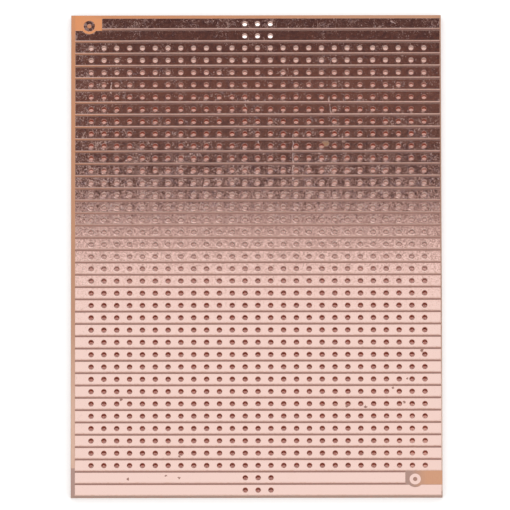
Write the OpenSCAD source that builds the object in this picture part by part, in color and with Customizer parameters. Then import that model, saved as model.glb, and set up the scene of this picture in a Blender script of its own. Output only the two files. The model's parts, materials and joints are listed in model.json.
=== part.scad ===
// Stripboard: a thin board with a grid of punched holes and a copper strip along each row of holes.
// X runs along the strips and Y across them. The copper side faces up, and the board lies on Z = 0.
// The origin is at the middle of the underside. Strips are counted from the far end, at +Y.

/* [Grid] */
// Spacing of the holes along a strip, and of the strips
pitch = 2.54; // [2:0.01:5.08]
// Holes along a full row
columns = 27; // [15:1:60]
// Strips that have a hole in every column
full_rows = 35; // [12:1:60]
// Strips beyond the full rows at each end of the board
end_rows = 2; // [2:1:5]
// Holes in each of those end strips, at the strip's middle
end_holes = 3; // [1:1:11]
// Diameter of a hole, through board and copper
hole_d = 1.0; // [0.8:0.05:1.3]

/* [Board] */
// Thickness of the board without its copper
board_t = 1.5; // [0.8:0.1:3.2]
// From the first column of holes to the left edge
left_edge = 4.0; // [3.3:0.1:12]
// From the last column of holes to the right edge
right_edge = 3.4; // [3.3:0.1:12]
// From the middle of the first strip to the far edge
far_edge = 1.75; // [1.3:0.05:12]
// From the middle of the last strip to the near edge
near_edge = 1.2; // [1.2:0.05:12]

/* [Copper] */
// Thickness of the copper
copper_t = 0.035; // [0.018:0.001:0.14]
// Bare gap between two strips
strip_gap = 0.34; // [0.2:0.01:0.8]
// Copper beyond the centre of the last hole, at both ends of a strip
strip_end = 3.2; // [0.8:0.1:3.3]

/* [Ring pads] */
// Outer diameter of a ring pad
pad_d = 2.25; // [1.5:0.05:2.8]
// Bare spot at the middle of a ring pad
pad_bore_d = 0.84; // [0.4:0.02:1.2]
// Bare gap that runs round a pad and notches the strip beside it
pad_gap = 0.5; // [0.2:0.05:0.8]
// The far pad's centre, left of the first column
far_pad_left = 0.4; // [0:0.1:2]
// The far pad's centre, on the near side of the first strip's middle
far_pad_down = 0.5; // [0:0.05:0.6]
// Bare board between the far pad and the start of the first strip
far_pad_bare = 1.4; // [0.5:0.1:3]
// The near pad's centre, left of the last column
near_pad_left = 2.0; // [0:0.1:3]
// The near pad's centre, on the near side of the middle of the strip before the last
near_pad_down = 0.3; // [0:0.05:0.6]
// Bare board between the near pad and the end of the strip before the last
near_pad_bare = 0.8; // [0.5:0.1:3]

/* [Hidden] */
board_colour = "#c9916a";
copper_colour = "#e9c2b4";
hole_facets = 24;
pad_facets = 48;

strips = full_rows + 2 * end_rows;
board_w = left_edge + (columns - 1) * pitch + right_edge;
board_l = far_edge + (strips - 1) * pitch + near_edge;
strip_w = pitch - strip_gap;

function column_x(c) = left_edge - board_w / 2 + c * pitch;
function strip_y(s) = board_l / 2 - far_edge - s * pitch;

// The far pad shares its row with the first strip, and the near pad with the strip before the last.
far_pad_strip = 0;
near_pad_strip = strips - 2;
far_pad = [column_x(0) - far_pad_left, strip_y(far_pad_strip) - far_pad_down];
near_pad = [column_x(columns - 1) - near_pad_left, strip_y(near_pad_strip) - near_pad_down];

// The end strips have holes only at their middle.
first_end_hole = floor((columns - end_holes) / 2);
function is_end(s) = s < end_rows || s >= strips - end_rows;
function hole_columns(s) =
    is_end(s) ? [first_end_hole : first_end_hole + end_holes - 1] : [0 : columns - 1];

// Where a strip's copper starts and stops
function strip_start(s) =
    s == far_pad_strip ? far_pad.x + pad_d / 2 + far_pad_bare : column_x(0) - strip_end;
function strip_stop(s) =
    s == near_pad_strip ? near_pad.x - pad_d / 2 - near_pad_bare : column_x(columns - 1) + strip_end;

// Strips are named strip_01, strip_02 and so on.
function strip_name(s) = str("strip_", s < 9 ? "0" : "", s + 1);

module hole_row(s) {
    for (c = hole_columns(s))
        translate([column_x(c), strip_y(s)])
            circle(d = hole_d, $fn = hole_facets);
}

module board() {
    color(board_colour)
    linear_extrude(board_t)
    difference() {
        square([board_w, board_l], center = true);
        for (s = [0 : strips - 1])
            hole_row(s);
    }
}

// Lays a flat shape in copper on the board's top.
module copper() {
    color(copper_colour)
    translate([0, 0, board_t])
    linear_extrude(copper_t)
        children();
}

module bare_round_pads() {
    for (centre = [far_pad, near_pad])
        translate(centre)
            circle(d = pad_d + 2 * pad_gap, $fn = pad_facets);
}

module copper_strip(s) {
    copper()
    difference() {
        translate([strip_start(s), strip_y(s) - strip_w / 2])
            square([strip_stop(s) - strip_start(s), strip_w]);
        hole_row(s);
        bare_round_pads();
    }
}

module ring_pad(centre) {
    copper()
    translate(centre)
    difference() {
        circle(d = pad_d, $fn = pad_facets);
        circle(d = pad_bore_d, $fn = pad_facets);
    }
}

board();
ring_pad(far_pad);  // pad_far
ring_pad(near_pad);  // pad_near
for (s = [0 : strips - 1])
    copper_strip(s);
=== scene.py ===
"""Stripboard: punched phenolic-paper board, bare copper strips and two copper ring pads."""

import json
import math
import random

import bpy
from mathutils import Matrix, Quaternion, Vector


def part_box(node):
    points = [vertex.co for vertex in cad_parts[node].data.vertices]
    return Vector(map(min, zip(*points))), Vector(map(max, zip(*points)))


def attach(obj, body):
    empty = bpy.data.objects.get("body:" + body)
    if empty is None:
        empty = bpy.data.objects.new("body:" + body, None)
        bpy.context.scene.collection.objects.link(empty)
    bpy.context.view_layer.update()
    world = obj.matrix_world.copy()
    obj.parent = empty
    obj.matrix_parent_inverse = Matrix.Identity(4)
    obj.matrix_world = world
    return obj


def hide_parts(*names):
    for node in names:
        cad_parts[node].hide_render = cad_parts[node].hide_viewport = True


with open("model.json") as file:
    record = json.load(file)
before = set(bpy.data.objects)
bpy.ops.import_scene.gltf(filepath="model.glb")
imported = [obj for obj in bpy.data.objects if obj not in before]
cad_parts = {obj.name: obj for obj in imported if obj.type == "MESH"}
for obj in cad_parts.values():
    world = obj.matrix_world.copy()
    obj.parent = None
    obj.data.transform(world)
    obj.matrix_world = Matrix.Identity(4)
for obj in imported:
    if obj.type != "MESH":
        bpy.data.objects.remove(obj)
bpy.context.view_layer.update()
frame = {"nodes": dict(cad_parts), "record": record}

bl_info = {
    "name": "Stripboard",
    "version": (1, 0, 0),
    "blender": (4, 5, 0),
    "location": "View3D > Sidebar > Stripboard",
    "description": "Dresses a packed stripboard in copper foil and phenolic paper",
    "category": "Add Mesh",
}

MM = 0.001
MOUNTS = {mount["name"]: mount for mount in frame["record"]["mounts"]}
STRIPS = sorted(name for name in frame["nodes"] if name.startswith("strip_"))
BOARD_LOW, BOARD_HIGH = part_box("board")
COPPER_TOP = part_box(STRIPS[0])[1].z


def stated_holes():
    """(strip number, column number, place) of each hole that the record states."""
    holes = []
    for name, mount in MOUNTS.items():
        if name.startswith("hole_"):
            _, strip, column = name.split("_")
            holes.append((int(strip[1:]), int(column[1:]), mount["pos_m"]))
    return sorted(holes)


FIRST_HOLE = stated_holes()[0]
LAST_HOLE = stated_holes()[-1]
FULL_STRIPS = range(FIRST_HOLE[0], LAST_HOLE[0] + 1)
COLUMNS = LAST_HOLE[1]
PITCH = (LAST_HOLE[2][0] - FIRST_HOLE[2][0]) / (COLUMNS - 1)
HOLE_RADIUS = MOUNTS["hole_s03_c01"]["dims"]["r_mm"] * MM

# Points round a hole: a multiple of 8, so that a cell's corners and mid-sides are among them.
ROUND = 24
ANGLES = [math.tau * i / ROUND for i in range(ROUND)]
WELD = 1e-7


class BoardSettings(bpy.types.PropertyGroup):
    """Sizes and colours of the phenolic board."""

    edge_break: bpy.props.FloatProperty(
        name="Edge break",
        description="Width of the worn edge round the sawn board",
        default=0.05 * MM,
        subtype="DISTANCE",
    )
    breakout: bpy.props.FloatProperty(
        name="Punch breakout",
        description="Width of the chipped rim round each hole on the bare side",
        default=0.12 * MM,
        subtype="DISTANCE",
    )
    breakout_depth: bpy.props.FloatProperty(
        name="Breakout depth",
        description="Depth of the chipped rim",
        default=0.08 * MM,
        subtype="DISTANCE",
    )
    paper: bpy.props.FloatVectorProperty(
        name="Paper",
        description="Colour of the resin-soaked paper",
        default=(0.66, 0.34, 0.20),
        subtype="COLOR",
    )
    # Painted glow: a deeper orange towards the far left corner, as if light from below showed through the paper.
    paper_glow: bpy.props.FloatVectorProperty(
        name="Aged paper",
        description="Deeper orange that the far end of the board has",
        default=(0.78, 0.31, 0.12),
        subtype="COLOR",
    )
    # The gap colour is partly the etched paper's own tone and partly painted shade of the narrow gap between the
    # strips.
    etched: bpy.props.FloatVectorProperty(
        name="Etched gap",
        description="Colour of the paper that shows between the strips",
        default=(0.36, 0.19, 0.155),
        subtype="COLOR",
    )
    # Painted shade: this darker gap colour stands in for the dark card that the glossy paper mirrors towards the far
    # end.
    gap_shade: bpy.props.FloatVectorProperty(
        name="Dark gap",
        description="Colour of the gaps towards the far end",
        default=(0.27, 0.135, 0.11),
        subtype="COLOR",
    )
    # Painted shade along the far foot of each strip, darkest towards the far end.
    foot_shade: bpy.props.FloatVectorProperty(
        name="Foot grime",
        description="Colour of the dirt along the far foot of each strip",
        default=(0.05, 0.025, 0.02),
        subtype="COLOR",
    )
    etched_warm: bpy.props.FloatVectorProperty(
        name="Warm gap",
        description="Colour of the gaps near the far left corner",
        default=(0.50, 0.21, 0.11),
        subtype="COLOR",
    )
    hole_wall: bpy.props.FloatVectorProperty(
        name="Hole wall",
        description="Colour of the punched wall of a hole",
        default=(0.56, 0.215, 0.16),
        subtype="COLOR",
    )
    # Painted light: the pale colour that the hole walls take at the far end and in a band across the middle.
    wall_light: bpy.props.FloatVectorProperty(
        name="Dust",
        description="Colour of the dusty walls of the far holes",
        default=(0.84, 0.69, 0.64),
        subtype="COLOR",
    )
    edge_grime: bpy.props.FloatVectorProperty(
        name="Edge grime",
        description="Colour of the grime along the board's long edges",
        default=(0.36, 0.22, 0.15),
        subtype="COLOR",
    )
    edge_pale: bpy.props.FloatVectorProperty(
        name="Pale edge",
        description="Colour of the rubbed long edges at the near end",
        default=(0.78, 0.64, 0.56),
        subtype="COLOR",
    )
    dull: bpy.props.FloatVectorProperty(
        name="Dull paper",
        description="Colour of the greyed paper along the near end",
        default=(0.42, 0.275, 0.235),
        subtype="COLOR",
    )
    sawn: bpy.props.FloatVectorProperty(
        name="Sawn edge",
        description="Colour of the dusty sawn edge",
        default=(0.36, 0.26, 0.225),
        subtype="COLOR",
    )


class CopperSettings(bpy.types.PropertyGroup):
    """Sizes, colours and wear of the copper."""

    end_holes: bpy.props.IntProperty(
        name="End holes",
        description="Holes at the middle of each end strip",
        default=3,
    )
    relief: bpy.props.FloatProperty(
        name="Punch tail",
        description="How far the copper stands up beside a hole where the punch left a tail",
        default=0.012 * MM,
        subtype="DISTANCE",
    )
    rim_drop: bpy.props.FloatProperty(
        name="Rim drop",
        description="How far the punched rim round a hole drops",
        default=0.004 * MM,
        subtype="DISTANCE",
    )
    near_slope: bpy.props.FloatProperty(
        name="Near slope",
        description="Width of the slope along a strip's near side",
        default=0.18 * MM,
        subtype="DISTANCE",
    )
    far_slope: bpy.props.FloatProperty(
        name="Far slope",
        description="Width of the slope along a strip's far side",
        default=0.05 * MM,
        subtype="DISTANCE",
    )
    end_slope: bpy.props.FloatProperty(
        name="End slope",
        description="Width of the slope at a strip's ends and round a ring pad's gap",
        default=0.06 * MM,
        subtype="DISTANCE",
    )
    edge_height: bpy.props.FloatProperty(
        name="Edge height",
        description="Height of the copper's edge at the foot of its slopes",
        default=0.008 * MM,
        subtype="DISTANCE",
    )
    pad_bore: bpy.props.FloatProperty(
        name="Pad bore",
        description="Diameter of the bare spot in a ring pad",
        default=0.84 * MM,
        subtype="DISTANCE",
    )
    pad_gap: bpy.props.FloatProperty(
        name="Pad gap",
        description="Bare gap round a ring pad, which notches the strip beside it",
        default=0.5 * MM,
        subtype="DISTANCE",
    )
    foil: bpy.props.FloatVectorProperty(
        name="Copper",
        description="Colour of clean copper foil",
        default=(0.913, 0.660, 0.590),
        subtype="COLOR",
    )
    stain: bpy.props.FloatVectorProperty(
        name="Stain",
        description="Colour of the orange stain and of the dull film",
        default=(0.62, 0.33, 0.14),
        subtype="COLOR",
    )
    tarnish: bpy.props.FloatVectorProperty(
        name="Tarnish",
        description="Colour of the cool blotches on the far half",
        default=(0.58, 0.45, 0.50),
        subtype="COLOR",
    )
    smudge: bpy.props.FloatVectorProperty(
        name="Smudge",
        description="Colour of the small dark smudges",
        default=(0.22, 0.08, 0.05),
        subtype="COLOR",
    )
    gloss: bpy.props.FloatProperty(
        name="Foil roughness",
        description="Roughness of clean foil",
        default=0.06,
        subtype="FACTOR",
    )
    worn: bpy.props.FloatProperty(
        name="Worn roughness",
        description="Roughness of scratches and specks",
        default=0.5,
        subtype="FACTOR",
    )
    flank: bpy.props.FloatProperty(
        name="Flank roughness",
        description="Roughness of the etched slopes along a strip's sides",
        default=0.45,
        subtype="FACTOR",
    )


class StudioSettings(bpy.types.PropertyGroup):
    """The camera, the room light and the dark card that the copper mirrors."""

    elevation: bpy.props.FloatProperty(
        name="Camera elevation",
        description="Height of the camera above the board's plane",
        default=math.radians(73.19),
        subtype="ANGLE",
    )
    roll: bpy.props.FloatProperty(
        name="Camera roll",
        description="Turn of the camera about its own axis",
        default=math.radians(-0.08),
        subtype="ANGLE",
    )
    lens: bpy.props.FloatProperty(
        name="Lens",
        description="Focal length, in millimetres",
        default=1600.0,
    )
    view_width: bpy.props.FloatProperty(
        name="View width",
        description="Width that the picture shows at the board",
        default=101.03 * MM,
        subtype="DISTANCE",
    )
    card_height: bpy.props.FloatProperty(
        name="Card height",
        description="Height of the dark card above the copper",
        default=300 * MM,
        subtype="DISTANCE",
    )
    below_near: bpy.props.FloatVectorProperty(
        name="Glow under the board",
        description="Light that shows through the holes",
        default=(0.19, 0.08, 0.062),
        subtype="COLOR",
    )
    below_far: bpy.props.FloatVectorProperty(
        name="Glow under the far end",
        description="Light that shows through the holes near the far end",
        default=(0.36, 0.195, 0.155),
        subtype="COLOR",
    )
    world_level: bpy.props.FloatProperty(
        name="Room light",
        description="Brightness of the even white room",
        default=1.0,
    )


class Skin:
    """Vertices and faces of one piece. Points at the same place are one vertex."""

    def __init__(self):
        self.places = {}
        self.points = []
        self.wear = []
        self.faces = []
        self.finishes = []
        self.flats = []
        self.feet = {}

    def point(self, x, y, z, wear=0.0):
        key = (round(x / WELD), round(y / WELD), round(z / WELD))
        if key not in self.places:
            self.places[key] = len(self.points)
            self.points.append((x, y, z))
            self.wear.append(wear)
        return self.places[key]

    def face(self, corners, finish=0, flat=False):
        self.faces.append(list(corners))
        self.finishes.append(finish)
        self.flats.append(flat)

    def band(self, inner, outer, finish=0, flat=False):
        """Quads between two closed loops of as many points."""
        for i in range(len(inner)):
            j = (i + 1) % len(inner)
            self.face((inner[i], outer[i], outer[j], inner[j]), finish, flat)

    def bands(self, loops, finish=0):
        for inner, outer in zip(loops, loops[1:]):
            self.band(inner, outer, finish)

    def rims(self):
        """The directed edges that only one face uses."""
        used = {}
        for corners in self.faces:
            for a, b in zip(corners, corners[1:] + corners[:1]):
                used[(a, b)] = used.get((a, b), 0) + 1
        return [edge for edge in used if (edge[1], edge[0]) not in used]

    def close_sides(self, finish=0):
        """Side walls: every open edge of the top goes down through the feet of its two points."""
        for a, b in self.rims():
            if a in self.feet and b in self.feet:
                left = [a] + [self.point(*place) for place in self.feet[a]]
                right = [b] + [self.point(*place) for place in self.feet[b]]
                for k in range(len(left) - 1):
                    self.face((right[k], left[k], left[k + 1], right[k + 1]), finish, True)

    def mesh(self, name):
        mesh = bpy.data.meshes.new(name)
        mesh.from_pydata(self.points, [], self.faces)
        mesh.polygons.foreach_set("material_index", self.finishes)
        wear = mesh.attributes.new("wear", "FLOAT", "POINT")
        wear.data.foreach_set("value", self.wear)
        mesh.update()
        mesh.validate()
        mesh.set_sharp_from_angle(angle=math.radians(30))
        mesh.polygons.foreach_set("use_smooth", [not flat for flat in self.flats])
        return mesh


def ring(skin, centre, radius, z, wear=0.0, angles=ANGLES, shape=None):
    """A loop of points round centre. shape(angle) scales the radius and lowers z."""
    loop = []
    for angle in angles:
        stretch, sink = shape(angle) if shape else (1.0, 0.0)
        x = centre[0] + radius * stretch * math.cos(angle)
        y = centre[1] + radius * stretch * math.sin(angle)
        loop.append(skin.point(x, y, z - sink, wear))
    return loop


def cell_border(skin, centre, half, z):
    """The border of a cell, its points facing the ring's. half is (width, far side, near side)."""
    loop = []
    for angle in ANGLES:
        c, s = math.cos(angle), math.sin(angle)
        reach = max(abs(c), abs(s))
        rise = half[1] if s > 0 else half[2]
        loop.append(skin.point(centre[0] + half[0] * c / reach, centre[1] + rise * s / reach, z))
    return loop


def side_steps(half):
    """How far above the middle the points on a cell's side are, from the near one to the far one."""
    count = ROUND // 8
    rises = [math.tan(math.tau * i / ROUND) for i in range(-count, count + 1)]
    return [rise * (half[1] if rise > 0 else half[2]) for rise in rises]


def hole_columns(strip):
    """The column numbers that have a hole in this strip, from 1."""
    if strip in FULL_STRIPS:
        return range(1, COLUMNS + 1)
    count = bpy.context.scene.strip_copper.end_holes
    first = (COLUMNS - count) // 2 + 1
    return range(first, first + count)


def column_x(column):
    return FIRST_HOLE[2][0] + (column - FIRST_HOLE[1]) * PITCH


def strip_y(strip):
    return FIRST_HOLE[2][1] - (strip - FIRST_HOLE[0]) * PITCH


def strip_rows():
    return range(1, len(STRIPS) + 1)


def add_piece(name, skin, materials, node):
    """Puts a finished mesh on the part in place of its CAD node."""
    piece = bpy.data.objects.new(name, skin.mesh(name))
    bpy.context.scene.collection.objects.link(piece)
    for material in materials:
        piece.data.materials.append(material)
    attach(piece, "root")
    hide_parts(node)
    return piece


class Nodes:
    """Short calls that add and join shader nodes."""

    def __init__(self, tree):
        self.tree = tree
        self.tree.nodes.clear()

    def add(self, kind, **settings):
        made = self.tree.nodes.new(kind)
        for name, value in settings.items():
            setattr(made, name, value)
        return made

    def join(self, source, target):
        self.tree.links.new(source, target)

    def feed(self, socket, value):
        """Links an output, or sets a constant."""
        if isinstance(value, bpy.types.NodeSocket):
            self.join(value, socket)
        else:
            socket.default_value = value

    def math(self, operation, *values, clamp=False):
        made = self.add("ShaderNodeMath", operation=operation, use_clamp=clamp)
        for socket, value in zip(made.inputs, values):
            self.feed(socket, value)
        return made.outputs[0]

    def vector(self, operation, *values):
        made = self.add("ShaderNodeVectorMath", operation=operation)
        for socket, value in zip(made.inputs, values):
            self.feed(socket, value)
        name = "Value" if operation in ("LENGTH", "DISTANCE", "DOT_PRODUCT") else "Vector"
        return made.outputs[name]

    def scaled(self, vector, factor):
        made = self.add("ShaderNodeVectorMath", operation="SCALE")
        self.join(vector, made.inputs[0])
        self.feed(made.inputs["Scale"], factor)
        return made.outputs[0]

    def place(self):
        return self.add("ShaderNodeTexCoord").outputs["Object"]

    def turned(self, vector, stretch=(1, 1, 1), turn=0.0, shift=(0, 0, 0)):
        made = self.add("ShaderNodeMapping", vector_type="POINT")
        self.join(vector, made.inputs["Vector"])
        made.inputs["Scale"].default_value = stretch
        made.inputs["Rotation"].default_value = (0, 0, turn)
        made.inputs["Location"].default_value = shift
        return made.outputs[0]

    def noise(self, vector, size, detail=2.0, output="Fac", rough=0.5):
        """Noise whose lumps are about size metres across."""
        made = self.add("ShaderNodeTexNoise")
        self.join(vector, made.inputs["Vector"])
        made.inputs["Scale"].default_value = 1 / size
        made.inputs["Detail"].default_value = detail
        made.inputs["Roughness"].default_value = rough
        return made.outputs[output]

    def spots(self, vector, size):
        """(distance to the nearest spot, that spot's random colour); size is the spots' spacing."""
        made = self.add("ShaderNodeTexVoronoi", feature="F1")
        self.join(vector, made.inputs["Vector"])
        made.inputs["Scale"].default_value = 1 / size
        return made.outputs["Distance"], made.outputs["Color"]

    def ramp(self, value, low, high, bottom=0.0, top=1.0):
        made = self.add("ShaderNodeMapRange", interpolation_type="SMOOTHSTEP")
        self.feed(made.inputs["Value"], value)
        made.inputs["From Min"].default_value = low
        made.inputs["From Max"].default_value = high
        made.inputs["To Min"].default_value = bottom
        made.inputs["To Max"].default_value = top
        return made.outputs["Result"]

    def mix(self, factor, first, second):
        made = self.add("ShaderNodeMix", data_type="RGBA")
        self.feed(made.inputs["Factor"], factor)
        for socket, value in ((made.inputs["A"], first), (made.inputs["B"], second)):
            self.feed(socket, value)
        return made.outputs["Result"]

    def attribute(self, name):
        return self.add("ShaderNodeAttribute", attribute_name=name).outputs["Fac"]

    def split(self, vector):
        made = self.add("ShaderNodeSeparateXYZ")
        self.join(vector, made.inputs[0])
        return made.outputs


def new_material(name):
    material = bpy.data.materials.new(name)
    material.use_nodes = True
    return material, Nodes(material.node_tree)


def colour(value):
    return (*value, 1.0)


def finish_surface(nodes, base, roughness, normal=None, **constants):
    """Joins a Principled surface to the output. Keyword names are its sockets' names."""
    surface = nodes.add("ShaderNodeBsdfPrincipled")
    nodes.feed(surface.inputs["Base Color"], base)
    nodes.feed(surface.inputs["Roughness"], roughness)
    if normal is not None:
        nodes.join(normal, surface.inputs["Normal"])
    for name, value in constants.items():
        surface.inputs[name.replace("_", " ")].default_value = value
    output = nodes.add("ShaderNodeOutputMaterial")
    nodes.join(surface.outputs[0], output.inputs["Surface"])


def shaken_normal(nodes, place, size, amount):
    """The surface's normal, tilted a little by noise of this size."""
    noise = nodes.noise(place, size, 1.0, "Color")
    centred = nodes.vector("SUBTRACT", noise, (0.5, 0.5, 0.5))
    offset = nodes.scaled(centred, amount)
    normal = nodes.add("ShaderNodeNewGeometry").outputs["Normal"]
    return nodes.vector("NORMALIZE", nodes.vector("ADD", normal, offset))


def within(nodes, place, x_low, x_high, y_low, y_high):
    """1 inside a rectangle seen from above, else 0."""
    x, y, _ = nodes.split(place)
    inside = nodes.math("MULTIPLY", nodes.math("GREATER_THAN", x, x_low), nodes.math("LESS_THAN", x, x_high))
    inside = nodes.math("MULTIPLY", inside, nodes.math("GREATER_THAN", y, y_low))
    return nodes.math("MULTIPLY", inside, nodes.math("LESS_THAN", y, y_high))


def blot(nodes, place, x, y, size):
    """A ragged spot of this radius at (x, y), in millimetres."""
    away = nodes.vector("DISTANCE", place, (x * MM, y * MM, COPPER_TOP))
    return nodes.ramp(away, size * 0.7 * MM, size * MM, 1.0, 0.0)


def scratch(nodes, place, x, y, length, lean, width):
    """A straight scratch with its middle at (x, y); lean turns it from the board's length."""
    turn = math.radians(lean)
    moved = nodes.vector("SUBTRACT", place, (x * MM, y * MM, COPPER_TOP))
    across = nodes.math("ABSOLUTE", nodes.vector("DOT_PRODUCT", moved, (math.cos(turn), math.sin(turn), 0)))
    along = nodes.math("ABSOLUTE", nodes.vector("DOT_PRODUCT", moved, (-math.sin(turn), math.cos(turn), 0)))
    thin = nodes.ramp(across, width * 0.5 * MM, width * MM, 1.0, 0.0)
    return nodes.math("MULTIPLY", thin, nodes.ramp(along, length * 0.4 * MM, length * 0.5 * MM, 1.0, 0.0))


def highest(nodes, values):
    result = values[0]
    for value in values[1:]:
        result = nodes.math("MAXIMUM", result, value)
    return result


# Marks on the copper as the photograph shows them, in millimetres from the board's middle.
# A scratch is (x, y, length, lean in degrees, width), and a smudge is (x, y, radius).
SCRATCHES = [
    (7.3, 20.2, 11.0, 0, 0.10),
    (0.6, 22.4, 3.0, 12, 0.12),
    (-2.1, 30.8, 3.2, 4, 0.12),
    (27.3, 48.2, 1.4, 60, 0.16),
    (-28.8, 34.6, 2.6, -4, 0.12),
    (14.6, 31.0, 4.0, 8, 0.09),
]
SMUDGES = [
    (-26.8, -29.9, 0.35),
    (32.7, -19.8, 0.4),
    (29.9, -25.6, 0.3),
    (27.0, -27.5, 0.3),
    (17.9, -31.2, 0.4),
    (21.5, -31.4, 0.35),
    (29.2, -30.5, 0.3),
    (-25.4, -46.2, 0.3),
    (-15.3, -46.0, 0.25),
    (-17.9, -45.6, 0.25),
    (-15.3, -41.5, 0.3),
]
FAR_PAD_SCUFFS = [(-34.0, 47.9, 0.5), (-33.5, 46.8, 0.45), (-32.3, 48.1, 0.35), (-35.9, 45.3, 0.6)]


def copper_material(settings):
    """Rolled copper foil: mirror-like, with fine grain, specks, scratches, smudges and a stain."""
    material, nodes = new_material("copper_foil")
    place = nodes.place()
    wear = nodes.attribute("wear")
    x, y, _ = nodes.split(place)
    ragged = nodes.noise(place, 0.35 * MM, 2.0, "Color")
    shaken = nodes.vector("ADD", place, nodes.scaled(nodes.vector("SUBTRACT", ragged, (0.5, 0.5, 0.5)), 0.7 * MM))

    # Fine damage is denser at the far end and at the strips' left ends.
    worn_side = nodes.ramp(x, -35 * MM, -22 * MM, 0.05, 0.0)
    worn_end = nodes.ramp(y, 46 * MM, 47.2 * MM, 0.0, 0.06)
    density = nodes.math("ADD", worn_side, worn_end)
    density = nodes.math("ADD", density, nodes.ramp(y, -8 * MM, 12 * MM, -0.12, 0.0))
    dented = nodes.math("MULTIPLY", nodes.ramp(y, 13 * MM, 17 * MM), nodes.ramp(y, 22 * MM, 28 * MM, 1.0, 0.0))
    density = nodes.math("ADD", density, nodes.math("MULTIPLY", dented, 0.015))
    fine = nodes.math("ADD", nodes.noise(place, 0.28 * MM, 3.0, rough=0.7), density)
    patches = nodes.noise(place, 2.6 * MM, 2.0)
    fine = nodes.math("ADD", fine, nodes.ramp(patches, 0.3, 0.75, -0.07, 0.07))
    mottle = nodes.ramp(fine, 0.50, 0.74, 0.0, 0.58)
    distance, random_colour = nodes.spots(shaken, 0.7 * MM)
    chosen = nodes.math("ADD", nodes.split(random_colour)[0], nodes.math("MULTIPLY", density, 2.0))
    speck = nodes.math("LESS_THAN", distance, nodes.ramp(chosen, 0.86, 1.05, 0.0, 0.17))
    hairs = nodes.noise(nodes.turned(shaken, (6, 0.5, 1), math.radians(10)), 1.0 * MM, 1.0)
    hair = nodes.ramp(nodes.math("ADD", hairs, density), 0.75, 0.80, 0.0, 0.6)
    scratches = [scratch(nodes, shaken, *mark) for mark in SCRATCHES]
    scuffs = highest(nodes, [blot(nodes, shaken, *mark) for mark in FAR_PAD_SCUFFS])
    scuffs = nodes.math("MULTIPLY", scuffs, 0.5)
    marks = highest(nodes, [mottle, speck, hair, scuffs, *scratches])
    rubbed = nodes.math("MAXIMUM", marks, nodes.math("MULTIPLY", wear, 0.15))
    brushed = nodes.noise(nodes.turned(place, (1, 0.04, 0.04)), 0.3 * MM, 2.0)
    clean = nodes.ramp(brushed, 0.35, 0.7, settings.gloss, settings.gloss + 0.03)
    roughness = nodes.math("ADD", clean, nodes.math("MULTIPLY", rubbed, settings.worn - settings.gloss))

    film = nodes.ramp(nodes.noise(place, 5 * MM, 3.0), 0.55, 0.8, 0.0, 0.06)
    stain = nodes.math("MULTIPLY", blot(nodes, shaken, 13.8, 23.1, 0.8), 0.75)
    base = nodes.mix(nodes.math("MAXIMUM", film, stain), colour(settings.foil), colour(settings.stain))
    roughness = nodes.math("ADD", roughness, nodes.math("MULTIPLY", stain, 0.35))
    tarnish = nodes.ramp(nodes.noise(place, 0.9 * MM, 3.0, rough=0.6), 0.45, 0.7, 0.0, 0.6)
    tarnish = nodes.math("MULTIPLY", tarnish, nodes.ramp(y, 2 * MM, 16 * MM))
    base = nodes.mix(tarnish, base, colour(settings.tarnish))
    smudges = highest(nodes, [blot(nodes, shaken, *mark) for mark in SMUDGES])
    base = nodes.mix(nodes.math("MULTIPLY", smudges, 0.8), base, colour(settings.smudge))
    grain = nodes.math("ADD", nodes.math("MULTIPLY", dented, 0.03), 0.05)
    normal = shaken_normal(nodes, place, 0.25 * MM, grain)
    finish_surface(nodes, base, roughness, normal, Metallic=1.0)
    return material


def flank_material(settings):
    """The etched slopes of a strip: the same foil, matt from the etchant."""
    material, nodes = new_material("etched_flank")
    place = nodes.place()
    pits = nodes.noise(place, 0.4 * MM, 3.0)
    base = nodes.mix(nodes.ramp(pits, 0.45, 0.75, 0.1, 0.4), colour(settings.foil), colour(settings.stain))
    y = nodes.split(place)[1]
    # The flanks take the smudge colour in a band across the middle of the board and on the slope round each hole.
    middle = nodes.math("MULTIPLY", nodes.ramp(y, -4 * MM, 4 * MM), nodes.ramp(y, 22 * MM, 30 * MM, 1.0, 0.0))
    flank_darkening = nodes.math("MAXIMUM", nodes.math("MULTIPLY", middle, 0.3), nodes.math("MULTIPLY", nodes.attribute("wear"), 0.6))
    base = nodes.mix(flank_darkening, base, colour(settings.smudge))
    roughness = nodes.ramp(pits, 0.3, 0.7, settings.flank - 0.05, settings.flank + 0.05)
    finish_surface(nodes, base, roughness, shaken_normal(nodes, place, 0.2 * MM, 0.08), Metallic=1.0)
    return material


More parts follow.
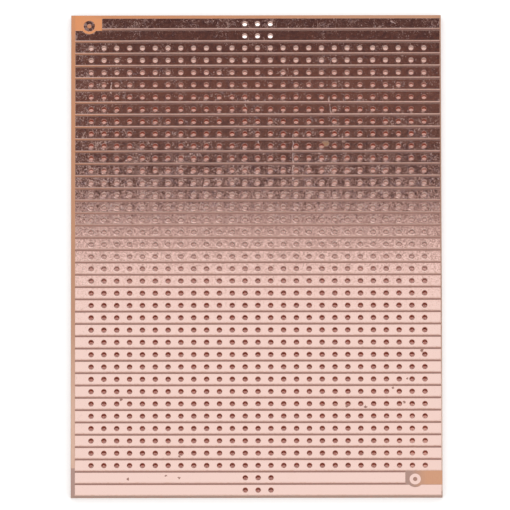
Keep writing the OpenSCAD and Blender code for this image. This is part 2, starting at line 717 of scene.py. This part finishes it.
def paper_material(settings):
    """Phenolic paper: satin and warm, with paper fibres in the resin, duller between the strips partly by painted
    shade, and with a painted glow at the far left corner.
    """
    material, nodes = new_material("phenolic_paper")
    place = nodes.place()
    x, y, z = nodes.split(place)
    # Only the copper side was etched, rubbed and dulled, and only it has the painted shade in the gaps: the underside
    # is plain.
    upper = nodes.math("GREATER_THAN", z, (BOARD_LOW.z + BOARD_HIGH.z) / 2)
    fibres = nodes.noise(nodes.turned(place, (1, 0.18, 1), math.radians(20)), 0.16 * MM, 3.0)
    cloud = nodes.noise(place, 6 * MM, 3.0)
    # Painted glow: the paper turns a deeper orange towards the far left corner, as if light from below showed through
    # it.
    corner = nodes.vector("DISTANCE", place, (BOARD_LOW.x, BOARD_HIGH.y, BOARD_HIGH.z))
    corner_glow = nodes.ramp(corner, 4 * MM, 70 * MM, 1.0, 0.0)
    corner_glow = nodes.math("MULTIPLY", corner_glow, nodes.ramp(cloud, 0.2, 0.6, 0.7, 1.0))
    base = nodes.mix(corner_glow, colour(settings.paper), colour(settings.paper_glow))
    etched = within(nodes, place, *etched_field())
    for block in bare_blocks():
        etched = nodes.math("MULTIPLY", etched, nodes.math("SUBTRACT", 1.0, within(nodes, place, *block)))
    for centre, radius in ring_pads():
        away = nodes.vector("DISTANCE", place, (*centre, BOARD_HIGH.z))
        etched = nodes.math("MULTIPLY", etched, nodes.math("GREATER_THAN", away, radius + PITCH / 4))
        bore = nodes.math("MULTIPLY", nodes.math("LESS_THAN", away, radius / 2), 0.6)
        etched = nodes.math("MAXIMUM", etched, bore)
    long_edge = nodes.ramp(nodes.math("ABSOLUTE", x), 35.7 * MM, 36.1 * MM)
    long_edge = nodes.math("MULTIPLY", long_edge, nodes.ramp(x, 30 * MM, 36 * MM, 0.45, 0.75))
    long_edge = nodes.math("MULTIPLY", long_edge, nodes.ramp(y, 44 * MM, 48 * MM, 1.0, 0.5))
    top_edge = nodes.math("MULTIPLY", nodes.ramp(y, 49.0 * MM, 49.4 * MM), nodes.ramp(x, -35 * MM, -28 * MM, 0.0, 0.35))
    long_edge = nodes.math("MAXIMUM", long_edge, top_edge)
    near_block = within(nodes, place, *bare_blocks()[1])
    long_edge = nodes.math("MULTIPLY", long_edge, nodes.math("SUBTRACT", 1.0, near_block))
    pale = nodes.ramp(y, -38 * MM, -8 * MM, 1.0, 0.0)
    edge_tone = nodes.mix(pale, colour(settings.edge_grime), colour(settings.edge_pale))
    base = nodes.mix(nodes.math("MULTIPLY", long_edge, upper), base, edge_tone)
    near_dull = nodes.math("MULTIPLY", nodes.ramp(x, 30 * MM, 34 * MM, 0.95, 0.0), nodes.math("LESS_THAN", y, -44 * MM))
    near_dull = nodes.math("MAXIMUM", near_dull, nodes.ramp(y, -48.9 * MM, -48.5 * MM, 0.85, 0.0))
    base = nodes.mix(nodes.math("MULTIPLY", near_dull, upper), base, colour(settings.dull))
    warm_gap = nodes.ramp(x, -35 * MM, -22 * MM, 1.0, 0.0)
    warm_gap = nodes.math("MULTIPLY", warm_gap, nodes.ramp(y, 0, 30 * MM))
    # Painted shade: the gaps darken towards the far end, standing in for the dark card mirrored in the glossy paper.
    shaded_gap = nodes.mix(nodes.ramp(y, 12 * MM, 46 * MM), colour(settings.etched), colour(settings.gap_shade))
    gap = nodes.mix(warm_gap, shaded_gap, colour(settings.etched_warm))
    # Painted shade lies along the far foot of each strip, more of it at the far end.
    phase = nodes.math("FRACT", nodes.math("DIVIDE", nodes.math("SUBTRACT", strip_y(1), y), PITCH))
    foot = nodes.math("MULTIPLY", nodes.ramp(phase, 0.485, 0.545), nodes.ramp(y, 6 * MM, 20 * MM, 0.15, 0.85))
    gap = nodes.mix(foot, gap, colour(settings.foot_shade))
    # The etched field takes the gap colour, which is partly the paper's own tone and partly painted shade.
    base = nodes.mix(nodes.math("MULTIPLY", etched, upper), base, gap)
    darker = nodes.ramp(fibres, 0.3, 0.7, 0.0, 0.16)
    base = nodes.mix(darker, base, colour(settings.hole_wall))
    normal = shaken_normal(nodes, place, 0.12 * MM, 0.2)
    roughness = nodes.ramp(fibres, 0.3, 0.7, 0.38, 0.55)
    finish_surface(nodes, base, roughness, normal, Specular_IOR_Level=0.3)
    return material


def etched_field():
    """The rectangle that the strips and their gaps take up."""
    low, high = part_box(STRIPS[len(STRIPS) // 2])
    return low.x, high.x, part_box(STRIPS[-1])[0].y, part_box(STRIPS[0])[1].y


def bare_blocks():
    """The bare rectangles round the two ring pads."""
    first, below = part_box(STRIPS[0]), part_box(STRIPS[1])
    last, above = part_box(STRIPS[-2]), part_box(STRIPS[-3])
    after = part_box(STRIPS[-1])
    return (
        (BOARD_LOW.x, first[0].x, below[1].y, BOARD_HIGH.y),
        (last[1].x, BOARD_HIGH.x, after[1].y, above[0].y),
    )


def wall_material(settings):
    """The punched wall of a hole: torn paper, dark with resin, with painted light that makes it paler at the far end
    and across the middle.
    """
    material, nodes = new_material("punched_wall")
    place = nodes.place()
    y = nodes.split(place)[1]
    torn = nodes.noise(nodes.turned(place, (1, 1, 0.3)), 0.12 * MM, 2.0)
    base = nodes.mix(nodes.ramp(torn, 0.35, 0.7, 0.0, 0.3), colour(settings.hole_wall), colour(settings.paper))
    # Painted light: the walls turn paler at the far end and in a band across the middle, as if lit from under the
    # board.
    far_wall_light = nodes.ramp(y, 30 * MM, 43 * MM)
    mid_wall_light = nodes.math("MULTIPLY", nodes.ramp(y, 13 * MM, 23 * MM, 0.9, 0.0), nodes.ramp(y, -10 * MM, 2 * MM))
    wall_light = nodes.math("MAXIMUM", far_wall_light, mid_wall_light)
    base = nodes.mix(wall_light, base, colour(settings.wall_light))
    normal = shaken_normal(nodes, place, 0.1 * MM, 0.5)
    finish_surface(nodes, base, 0.9, normal, Specular_IOR_Level=0.0)
    return material


def sawn_material(settings):
    """The sawn edge: paper layers that lie flat in the board, dulled by dust."""
    material, nodes = new_material("sawn_edge")
    place = nodes.place()
    layers = nodes.noise(nodes.turned(place, (0.06, 0.06, 1)), 0.12 * MM, 3.0)
    chips = nodes.noise(place, 0.5 * MM, 3.0)
    base = nodes.mix(nodes.ramp(layers, 0.3, 0.7, 0.0, 0.4), colour(settings.sawn), colour(settings.paper))
    base = nodes.mix(nodes.ramp(chips, 0.5, 0.75, 0.0, 0.4), base, colour(settings.hole_wall))
    normal = shaken_normal(nodes, place, 0.15 * MM, 0.6)
    finish_surface(nodes, base, 0.75, normal, Specular_IOR_Level=0.25)
    return material


PAPER, WALL, SAWN = range(3)
FOIL, FLANK = range(2)


def board_half(strip, inset):
    """Half sizes of the board's cells in this row: the first and last end at the board's edge if near."""
    y = strip_y(strip)
    far, near = BOARD_HIGH.y - inset - y, y - BOARD_LOW.y - inset
    return (PITCH / 2, min(PITCH / 2, far), min(PITCH / 2, near))


def board_cell(skin, centre, half, has_hole, settings):
    """One square of the board, top and bottom, with its hole or without."""
    top = cell_border(skin, centre, half, BOARD_HIGH.z)
    bottom = cell_border(skin, centre, half, BOARD_LOW.z)
    if not has_hole:
        skin.face(top)
        skin.face(bottom[::-1])
        return
    chance = random.Random(f"{centre[0]:.5f} {centre[1]:.5f}")
    chips = [chance.uniform(0.2, 1.0) for _ in ANGLES]
    upper = ring(skin, centre, HOLE_RADIUS, BOARD_HIGH.z)
    lower = ring(skin, centre, HOLE_RADIUS, BOARD_LOW.z + settings.breakout_depth)
    mouth = []
    for angle, chip in zip(ANGLES, chips):
        radius = HOLE_RADIUS + settings.breakout * chip
        x, y = centre[0] + radius * math.cos(angle), centre[1] + radius * math.sin(angle)
        mouth.append(skin.point(x, y, BOARD_LOW.z))
    skin.band(bottom, mouth)
    skin.bands([mouth, lower, upper], WALL)
    skin.band(upper, top)


def level_face(skin, run, z, up, finish=0):
    """A flat face through the places of run, facing up or down."""
    turn = sum(a[0] * b[1] - b[0] * a[1] for a, b in zip(run, run[1:] + run[:1]))
    if (turn > 0) != up:
        run = run[::-1]
    skin.face([skin.point(x, y, z) for x, y in run], finish)


def margin_runs(inset):
    """The outlines of the bare margin's pieces, between the cells and the broken edge."""
    left, right = column_x(1) - PITCH / 2, column_x(COLUMNS) + PITCH / 2
    x_low, x_high = BOARD_LOW.x + inset, BOARD_HIGH.x - inset
    last = len(STRIPS)
    far = strip_y(1) + board_half(1, inset)[1]
    near = strip_y(last) - board_half(last, inset)[2]
    runs = []
    for strip in strip_rows():
        rises = [strip_y(strip) + rise for rise in side_steps(board_half(strip, inset))]
        for inner, outer in ((left, x_low), (right, x_high)):
            runs.append([(inner, y) for y in rises] + [(outer, rises[-1]), (outer, rises[0])])
    for inner, outer in ((far, BOARD_HIGH.y - inset), (near, BOARD_LOW.y + inset)):
        if abs(outer - inner) < WELD:
            continue
        for column in range(1, COLUMNS + 1):
            places = [column_x(column) + step for step in side_steps((0, PITCH / 2, PITCH / 2))]
            runs.append([(x, inner) for x in places] + [(places[-1], outer), (places[0], outer)])
        for x0, x1 in ((x_low, left), (right, x_high)):
            runs.append([(x0, inner), (x1, inner), (x1, outer), (x0, outer)])
    return runs


def pushed_out(value, edge, inset):
    """A coordinate on the broken edge's inner line goes out to the edge."""
    return math.copysign(edge, value) if abs(abs(value) - (edge - inset)) < WELD else value


def build_board(settings):
    skin = Skin()
    inset = settings.edge_break
    for strip in strip_rows():
        holes = hole_columns(strip)
        half = board_half(strip, inset)
        for column in range(1, COLUMNS + 1):
            board_cell(skin, (column_x(column), strip_y(strip)), half, column in holes, settings)
    for run in margin_runs(inset):
        level_face(skin, run, BOARD_HIGH.z, True)
        level_face(skin, run, BOARD_LOW.z, False)
    for i, (x, y, z) in enumerate(list(skin.points)):
        if z == BOARD_HIGH.z:
            out_x, out_y = pushed_out(x, BOARD_HIGH.x, inset), pushed_out(y, BOARD_HIGH.y, inset)
            skin.feet[i] = [
                (out_x, out_y, BOARD_HIGH.z - inset),
                (out_x, out_y, BOARD_LOW.z + inset),
                (x, y, BOARD_LOW.z),
            ]
    skin.close_sides(SAWN)
    return skin


# Distances from the hole's edge at which the copper round it is shaped.
SHAPED = [0.0, 0.05 * MM, 0.12 * MM, 0.19 * MM, 0.28 * MM]


def punched_height(angle, distance, settings, tail, tail_angle):
    """Height of the copper above its flat part: raised by the punch's tail, and dropped at the rim."""
    facing = max(0.0, math.cos(angle - tail_angle)) ** 3
    rise = 0.6 + 8 * distance / MM if distance < 0.05 * MM else 1 - (distance / MM - 0.05) / 0.23
    dropped = settings.rim_drop if distance == SHAPED[0] else 0.0
    return tail * facing * max(0.0, rise) * settings.relief - dropped


def copper_cell(skin, centre, half, top_half, settings):
    """One pitch of a strip round its hole."""
    flat = COPPER_TOP - settings.relief
    chance = random.Random(f"copper {centre[0]:.5f} {centre[1]:.5f}")
    tail = chance.uniform(0.3, 1.0)
    tail_angle = math.radians(235) + chance.gauss(0, 0.35)
    under = cell_border(skin, centre, half, BOARD_HIGH.z)
    loops = [ring(skin, centre, HOLE_RADIUS, BOARD_HIGH.z)]
    for distance in SHAPED:
        loop = []
        for angle in ANGLES:
            lift = punched_height(angle, distance, settings, tail, tail_angle)
            x = centre[0] + (HOLE_RADIUS + distance) * math.cos(angle)
            y = centre[1] + (HOLE_RADIUS + distance) * math.sin(angle)
            loop.append(skin.point(x, y, flat + lift, max(0.0, 1 - distance / SHAPED[-1])))
        loops.append(loop)
    border = cell_border(skin, centre, top_half, flat)
    for top, low in zip(border, under):
        x, y, z = skin.points[low]
        skin.feet[top] = [(x, y, z + settings.edge_height), (x, y, z)]
    skin.band(under, loops[0])
    skin.band(loops[0], loops[1])
    skin.band(loops[1], loops[2], FLANK)
    skin.bands(loops[2:])
    skin.band(loops[-1], border, flat=True)


def notch(low, high, centre, reach):
    """The arc, from left to right, that a ring pad's bare gap cuts out of a strip beside it."""
    if not low.x < centre[0] < high.x:
        return []
    for side, edge in ((1, high.y), (-1, low.y)):
        depth = side * (centre[1] - edge)
        if 0 <= depth < reach:
            half = math.acos(depth / reach)
            turns = [half * (2 * i / (2 * ROUND // 3) - 1) for i in range(2 * ROUND // 3 + 1)]
            return [
                (centre[0] + reach * math.sin(t), centre[1] - side * reach * math.cos(t)) for t in turns
            ]
    return []


def cut_in(run, points):
    """Puts the arc into the straight part of the outline that it cuts."""
    if not points:
        return run
    for i, (a, b) in enumerate(zip(run, run[1:] + run[:1])):
        flat = abs(a[1] - b[1]) < WELD and abs(a[1] - points[0][1]) < WELD
        if flat and min(a[0], b[0]) < points[0][0] and points[-1][0] < max(a[0], b[0]):
            arc = points if a[0] < b[0] else points[::-1]
            return run[: i + 1] + arc + run[i + 1 :]
    return run


def ring_pads():
    """(centre, outer radius) of each ring pad."""
    pads = []
    for name in ("pad_far", "pad_near"):
        low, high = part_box(name)
        pads.append((((low.x + high.x) / 2, (low.y + high.y) / 2), (high.y - low.y) / 2))
    return pads


def build_strip(strip, settings):
    low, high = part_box(STRIPS[strip - 1])
    skin = Skin()
    y = strip_y(strip)
    half = (PITCH / 2, high.y - y, y - low.y)
    top_half = (half[0], half[1] - settings.far_slope, half[2] - settings.near_slope)
    columns = list(hole_columns(strip))
    for column in columns:
        copper_cell(skin, (column_x(column), y), half, top_half, settings)
    first, last = column_x(columns[0]) - half[0], column_x(columns[-1]) + half[0]
    for inner, outer in ((first, low.x), (last, high.x)):
        top = end_outline(low, high, y, inner, outer, top_half, settings, settings.end_slope)
        base = end_outline(low, high, y, inner, outer, half, settings, 0.0)
        for (x, y_top), (x_base, y_base) in zip(top, base):
            z = BOARD_HIGH.z
            foot = [(x_base, y_base, z + settings.edge_height), (x_base, y_base, z)]
            skin.feet[skin.point(x, y_top, COPPER_TOP - settings.relief)] = foot
        level_face(skin, top, COPPER_TOP - settings.relief, True)
        level_face(skin, base, BOARD_HIGH.z, False)
    skin.close_sides(FLANK)
    return skin


def end_outline(low, high, y, inner, outer, half, settings, inset):
    """The outline of a strip's end without holes. inset draws it in, for the top of the slope."""
    end = outer + math.copysign(inset, inner - outer)
    run = [(end, y - half[2])] + [(inner, y + rise) for rise in side_steps(half)] + [(end, y + half[1])]
    near, far = Vector((low.x, y - half[2], 0)), Vector((high.x, y + half[1], 0))
    for centre, radius in ring_pads():
        run = cut_in(run, notch(near, far, centre, radius + settings.pad_gap + inset))
    return run


def build_pad(name, settings):
    low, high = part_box(name)
    centre = ((low.x + high.x) / 2, (low.y + high.y) / 2)
    outer = (high.y - low.y) / 2
    angles = [math.tau * i / (2 * ROUND) for i in range(2 * ROUND)]
    edge = 0.02 * MM
    skin = Skin()

    def loop(radius, z, wear):
        return ring(skin, centre, radius, z, wear, angles)

    bore = settings.pad_bore / 2
    loops = [
        loop(outer, BOARD_HIGH.z, 0.0),
        loop(bore, BOARD_HIGH.z, 0.0),
        loop(bore, COPPER_TOP - edge, 0.2),
        loop(bore + edge, COPPER_TOP, 0.2),
        loop(outer - edge, COPPER_TOP, 0.2),
        loop(outer, COPPER_TOP - edge, 0.2),
        loop(outer, BOARD_HIGH.z, 0.0),
    ]
    skin.bands(loops)
    return skin


class STRIPBOARD_OT_board(bpy.types.Operator):
    """Make the punched phenolic board"""

    bl_idname = "stripboard.board"
    bl_label = "Punched board"

    def execute(self, context):
        settings = context.scene.strip_board
        materials = [paper_material(settings), wall_material(settings), sawn_material(settings)]
        add_piece("phenolic_board", build_board(settings), materials, "board")
        return {"FINISHED"}


class STRIPBOARD_OT_strips(bpy.types.Operator):
    """Make the copper strips"""

    bl_idname = "stripboard.strips"
    bl_label = "Copper strips"

    def execute(self, context):
        settings = context.scene.strip_copper
        materials = [copper_material(settings), flank_material(settings)]
        for strip, node in enumerate(STRIPS, 1):
            add_piece(f"copper_{node}", build_strip(strip, settings), materials, node)
        return {"FINISHED"}


class STRIPBOARD_OT_pads(bpy.types.Operator):
    """Make the two copper ring pads"""

    bl_idname = "stripboard.pads"
    bl_label = "Ring pads"

    def execute(self, context):
        settings = context.scene.strip_copper
        foil = bpy.data.materials["copper_foil"]
        for node in ("pad_far", "pad_near"):
            add_piece(f"copper_{node}", build_pad(node, settings), [foil], node)
        return {"FINISHED"}


def seen_directly(nodes):
    """1 for rays from the camera and through mirrors or glass, else 0."""
    path = nodes.add("ShaderNodeLightPath")
    seen = nodes.math("MAXIMUM", path.outputs["Is Camera Ray"], path.outputs["Is Glossy Ray"])
    return nodes.math("MAXIMUM", seen, path.outputs["Is Transmission Ray"])


def white_room(level):
    """A world that lights evenly, and that the camera and the copper see as white."""
    world = bpy.data.worlds.new("white_room")
    world.use_nodes = True
    nodes = Nodes(world.node_tree)
    background = nodes.add("ShaderNodeBackground")
    background.inputs["Color"].default_value = (1, 1, 1, 1)
    strength = nodes.add("ShaderNodeMix", data_type="FLOAT")
    nodes.join(seen_directly(nodes), strength.inputs["Factor"])
    strength.inputs["A"].default_value = level
    strength.inputs["B"].default_value = 1.0
    nodes.join(strength.outputs[0], background.inputs["Strength"])
    output = nodes.add("ShaderNodeOutputWorld")
    nodes.join(background.outputs[0], output.inputs["Surface"])
    bpy.context.scene.world = world


# The table lies this far under the board, and rays that start nearer to it than the reach pass it.
TABLE_GAP = 0.02 * MM
UNDERSIDE_REACH = 0.2 * MM


def floor_material(settings):
    """White table. Under the board it glows as the holes in the photograph show it."""
    material, nodes = new_material("white_table")
    place = nodes.place()
    x, y, _ = nodes.split(place)
    matt = nodes.add("ShaderNodeBsdfDiffuse")
    matt.inputs["Color"].default_value = (0.9, 0.9, 0.9, 1)
    inner = HOLE_RADIUS * 4
    covered = within(
        nodes, place, BOARD_LOW.x + inner, BOARD_HIGH.x - inner, BOARD_LOW.y + HOLE_RADIUS, BOARD_HIGH.y - HOLE_RADIUS
    )
    leak = nodes.math("MULTIPLY", nodes.ramp(x, 20 * MM, 34 * MM), nodes.ramp(y, -40 * MM, -20 * MM, 1.0, 0.0))
    lit = nodes.math("MAXIMUM", nodes.ramp(y, 8 * MM, 24 * MM), leak)
    below = nodes.mix(lit, colour(settings.below_near), colour(settings.below_far))
    end = strip_y(FIRST_HOLE[0]) + PITCH / 2
    below = nodes.mix(nodes.math("GREATER_THAN", y, end), below, (1, 1, 1, 1))
    light = nodes.mix(covered, (0.24, 0.24, 0.24, 1), below)
    glowing = nodes.add("ShaderNodeEmission")
    nodes.join(light, glowing.inputs["Color"])
    lifted = nodes.math("MAXIMUM", seen_directly(nodes), nodes.math("MULTIPLY", covered, 0.6))
    nodes.join(lifted, glowing.inputs["Strength"])
    both = nodes.add("ShaderNodeAddShader")
    nodes.join(matt.outputs[0], both.inputs[0])
    nodes.join(glowing.outputs[0], both.inputs[1])
    # Rays that start at the underside pass through the table, so that the underside is lit.
    travelled = nodes.add("ShaderNodeLightPath").outputs["Ray Length"]
    table = nodes.add("ShaderNodeMixShader")
    nodes.join(nodes.math("LESS_THAN", travelled, UNDERSIDE_REACH), table.inputs[0])
    nodes.join(both.outputs[0], table.inputs[1])
    nodes.join(nodes.add("ShaderNodeBsdfTransparent").outputs[0], table.inputs[2])
    output = nodes.add("ShaderNodeOutputMaterial")
    nodes.join(table.outputs[0], output.inputs["Surface"])
    material.cycles.emission_sampling = "NONE"
    return material


def flat_sheet(name, x0, x1, y0, y1, z, material):
    mesh = bpy.data.meshes.new(name)
    mesh.from_pydata([(x0, y0, z), (x1, y0, z), (x1, y1, z), (x0, y1, z)], [], [(0, 1, 2, 3)])
    mesh.materials.append(material)
    sheet = bpy.data.objects.new(name, mesh)
    bpy.context.scene.collection.objects.link(sheet)
    return sheet


# The dark card's brightness, as the copper shows it: (place along the board, colour).
CARD_SHADES = [
    (-15 * MM, (1.0, 1.0, 1.0)),
    (-9 * MM, (0.985, 0.95, 0.945)),
    (-4 * MM, (0.97, 0.90, 0.885)),
    (0 * MM, (0.83, 0.735, 0.725)),
    (3 * MM, (0.62, 0.52, 0.505)),
    (8 * MM, (0.43, 0.345, 0.33)),
    (12.5 * MM, (0.44, 0.33, 0.31)),
    (14 * MM, (0.16, 0.095, 0.08)),
    (15.5 * MM, (0.02, 0.008, 0.007)),
    (24 * MM, (0.13, 0.075, 0.065)),
    (33 * MM, (0.17, 0.095, 0.078)),
    (42 * MM, (0.172, 0.087, 0.07)),
    (48 * MM, (0.09, 0.052, 0.048)),
]


def card_material(y_start, y_end, offset):
    """A card that goes from white to dark brown, for the copper to mirror."""
    material, nodes = new_material("dark_card")
    along = nodes.split(nodes.place())[1]
    share = nodes.math("DIVIDE", nodes.math("SUBTRACT", along, y_start), y_end - y_start)
    shades = nodes.add("ShaderNodeValToRGB")
    nodes.join(share, shades.inputs["Fac"])
    stops = shades.color_ramp.elements
    while len(stops) < len(CARD_SHADES):
        stops.new(0.5)
    for stop, (y, shade) in zip(stops, CARD_SHADES):
        stop.position = (y + offset - y_start) / (y_end - y_start)
        stop.color = colour(shade)
    glow = nodes.add("ShaderNodeEmission")
    nodes.join(shades.outputs["Color"], glow.inputs["Color"])
    output = nodes.add("ShaderNodeOutputMaterial")
    nodes.join(glow.outputs[0], output.inputs["Surface"])
    material.cycles.emission_sampling = "NONE"
    return material


class STRIPBOARD_OT_stage(bpy.types.Operator):
    """Set the table, the room light, the card and the camera"""

    bl_idname = "stripboard.stage"
    bl_label = "Stage"

    def execute(self, context):
        settings = context.scene.strip_studio
        scene = context.scene
        scene.view_settings.view_transform = "Standard"
        white_room(settings.world_level)
        flat_sheet("white_table", -2, 2, -2, 2, BOARD_LOW.z - TABLE_GAP, floor_material(settings))
        lean = math.pi / 2 - settings.elevation
        offset = settings.card_height * math.tan(lean)
        y0, y1 = CARD_SHADES[0][0] + offset, 400 * MM + offset
        card = flat_sheet(
            "dark_card", -0.4, 0.4, y0, y1,
            COPPER_TOP + settings.card_height, card_material(y0, y1, offset),
        )
        card.visible_camera = False
        card.visible_diffuse = False
        card.visible_shadow = False
        card.visible_transmission = False
        aim_camera(scene, settings)
        return {"FINISHED"}


def aim_camera(scene, settings):
    """A long lens over the near side, as the photograph was taken."""
    data = bpy.data.cameras.new("camera")
    data.sensor_width = 36
    data.lens = settings.lens
    distance = settings.view_width * settings.lens / data.sensor_width
    data.clip_end = 2 * distance
    camera = bpy.data.objects.new("camera", data)
    scene.collection.objects.link(camera)
    aim = Vector((-0.26 * MM, -0.05 * MM, COPPER_TOP))
    back = Vector((0, -math.cos(settings.elevation), math.sin(settings.elevation)))
    camera.location = aim + back * distance
    turn = back.to_track_quat("Z", "Y")
    camera.rotation_euler = (turn @ Quaternion((0, 0, 1), settings.roll)).to_euler()
    scene.camera = camera


class STRIPBOARD_PT_panel(bpy.types.Panel):
    """Lists the steps that dress the stripboard"""

    bl_idname = "STRIPBOARD_PT_panel"
    bl_label = "Stripboard"
    bl_space_type = "VIEW_3D"
    bl_region_type = "UI"
    bl_category = "Stripboard"

    def draw(self, context):
        for step in STEPS:
            self.layout.operator(step.bl_idname)
        for group in (context.scene.strip_board, context.scene.strip_copper, context.scene.strip_studio):
            for name in group.bl_rna.properties.keys():
                if name not in ("rna_type", "name"):
                    self.layout.prop(group, name)


STEPS = (
    STRIPBOARD_OT_stage,
    STRIPBOARD_OT_board,
    STRIPBOARD_OT_strips,
    STRIPBOARD_OT_pads,
)
CLASSES = (BoardSettings, CopperSettings, StudioSettings, *STEPS, STRIPBOARD_PT_panel)


def register():
    for cls in CLASSES:
        bpy.utils.register_class(cls)
    bpy.types.Scene.strip_board = bpy.props.PointerProperty(type=BoardSettings)
    bpy.types.Scene.strip_copper = bpy.props.PointerProperty(type=CopperSettings)
    bpy.types.Scene.strip_studio = bpy.props.PointerProperty(type=StudioSettings)


def unregister():
    del bpy.types.Scene.strip_board
    del bpy.types.Scene.strip_copper
    del bpy.types.Scene.strip_studio
    for cls in reversed(CLASSES):
        bpy.utils.unregister_class(cls)


def main():
    register()
    bpy.ops.stripboard.stage()
    bpy.ops.stripboard.board()
    bpy.ops.stripboard.strips()
    bpy.ops.stripboard.pads()


if __name__ == "__main__":
    main()
